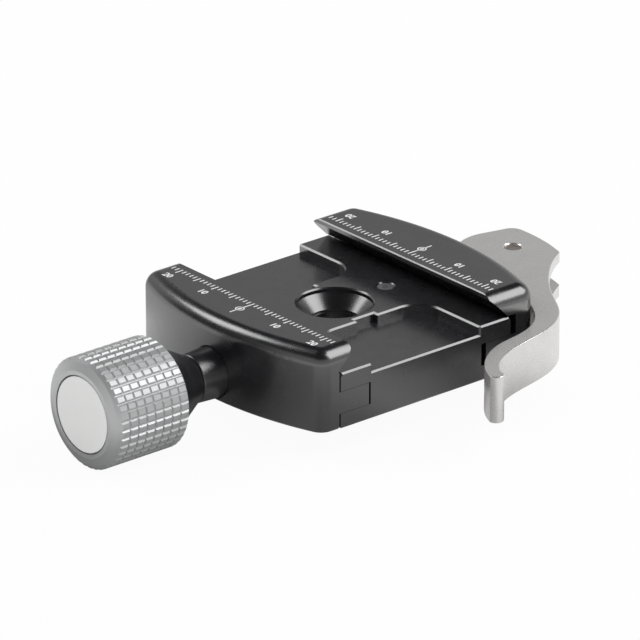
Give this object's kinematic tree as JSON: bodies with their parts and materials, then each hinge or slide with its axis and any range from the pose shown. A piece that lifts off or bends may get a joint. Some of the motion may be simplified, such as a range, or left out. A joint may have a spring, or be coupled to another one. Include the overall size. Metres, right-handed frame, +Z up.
{
  "type": "dovetail quick release clamp",
  "caption": "Clamp for dovetail camera plates, with a knob that draws in one jaw and a cam lever that closes the other, and a countersunk mounting hole.",
  "frame": {"origin": "axis of the mounting hole on the centre block's bottom face", "axes": "+Z up through the mounting hole, +X across the jaws from the knob to the lever, +Y along the jaws"},
  "size_m": [0.1069, 0.068, 0.0206],
  "materials": {
    "black_anodised": "satin black anodised, bead blasted",
    "silver_anodised": "satin silver anodised",
    "satin_lever": "satin, finely blasted",
    "face_disc": "fine satin, pale",
    "bright_steel": "ground",
    "spring_steel": "drawn wire",
    "brass": "turned",
    "nylon": "moulded black"
  },
  "bodies": {
    "base": {"centre_block": "black_anodised", "knob_stud": "bright_steel", "lever_stud": "bright_steel", "lever_stud_lock_screw": "bright_steel", "knob_stud_lock_screw": "bright_steel", "knob_jaw_front_pin": "bright_steel", "knob_jaw_rear_pin": "bright_steel", "lever_jaw_front_pin": "bright_steel", "lever_jaw_rear_pin": "bright_steel", "knob_jaw_spring": "spring_steel", "lever_jaw_spring": "spring_steel", "knob_stop_screw": "bright_steel"},
    "knob_jaw": {"knob_side_jaw": "black_anodised", "neck_sleeve": "black_anodised", "thrust_washer": "nylon"},
    "knob": {"knob_shell": "silver_anodised", "knob_collar": "black_anodised", "knob_nut": "brass", "knob_face_disc": "face_disc"},
    "lever_jaw": {"lever_side_jaw": "black_anodised", "wear_plate": "brass"},
    "lever": {"lever": "satin_lever", "pivot_pin": "bright_steel", "upper_fork_washer": "nylon", "lower_fork_washer": "nylon"}
  },
  "joints": [
    {"name": "knob_jaw_slide", "type": "slide", "parent": "base", "child": "knob_jaw", "axis": [-1, 0, 0], "range_m": [0, 0.004], "deforming": ["knob_jaw_spring"]},
    {"name": "knob_turn", "type": "hinge", "parent": "knob_jaw", "child": "knob", "pos_m": [-0.0577, 0, 0.00515], "axis": [-1, 0, 0], "range_deg": [0, 1440]},
    {"name": "lever_jaw_slide", "type": "slide", "parent": "base", "child": "lever_jaw", "axis": [1, 0, 0], "range_m": [0, 0.00367], "deforming": ["lever_jaw_spring"]},
    {"name": "lever_swing", "type": "hinge", "parent": "base", "child": "lever", "pos_m": [0.0424, 0, 0.0058], "axis": [0, 0, 1], "range_deg": [0, 100]}
  ],
  "couplings": [
    {"joint": "knob_turn", "follows": "knob_jaw_slide", "rad_per_m": 6283.2},
    {"joint": "lever_jaw_slide", "follows": "lever_swing", "m_per_rad": 0.0021}
  ]
}
